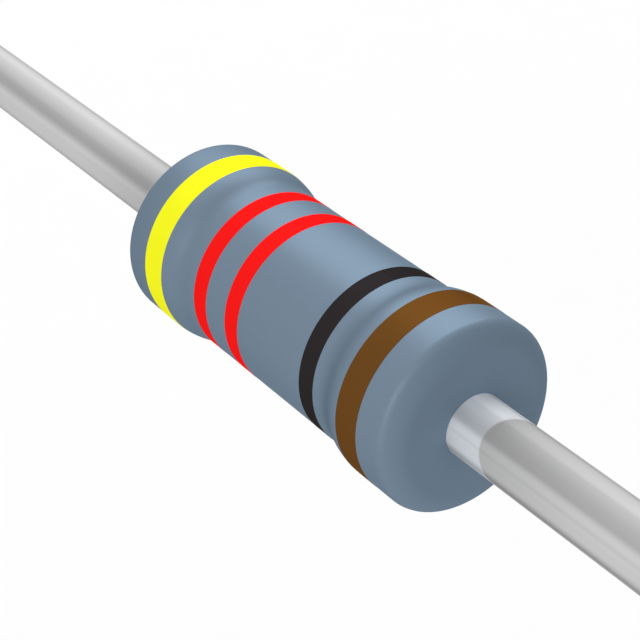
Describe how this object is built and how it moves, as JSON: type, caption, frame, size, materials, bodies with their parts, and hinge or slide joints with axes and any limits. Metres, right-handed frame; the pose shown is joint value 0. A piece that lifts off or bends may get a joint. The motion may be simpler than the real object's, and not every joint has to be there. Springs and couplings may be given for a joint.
{
  "type": "axial resistor",
  "caption": "Small film resistor with a dog-bone lacquered body, painted colour bands and a stiff straight wire lead at each end, for soldering through a circuit board.",
  "frame": {"origin": "centre of the lacquered body, on its axis", "axes": "+X along the axis towards the end with the brown band, +Y and +Z across it; the part is turned about X"},
  "size_m": [0.0616, 0.0016, 0.0016],
  "materials": {
    "ceramic": "ground white alumina",
    "film": "thin dark nickel-chromium film",
    "cap_steel": "pressed and tinned steel",
    "tinned_wire": "drawn copper wire with bright tin plating",
    "lacquer": "satin blue-grey lacquer",
    "paint_yellow": "flat band paint",
    "paint_red": "flat band paint",
    "paint_black": "flat band paint",
    "paint_brown": "flat band paint"
  },
  "bodies": {
    "root": {"ceramic_core": "ceramic", "resistive_film": "film", "end_cap_left": "cap_steel", "end_cap_right": "cap_steel", "lead_left": "tinned_wire", "lead_right": "tinned_wire", "coating": "lacquer", "band_yellow": "paint_yellow", "band_red_first": "paint_red", "band_red_second": "paint_red", "band_black": "paint_black", "band_brown": "paint_brown"}
  },
  "joints": []
}
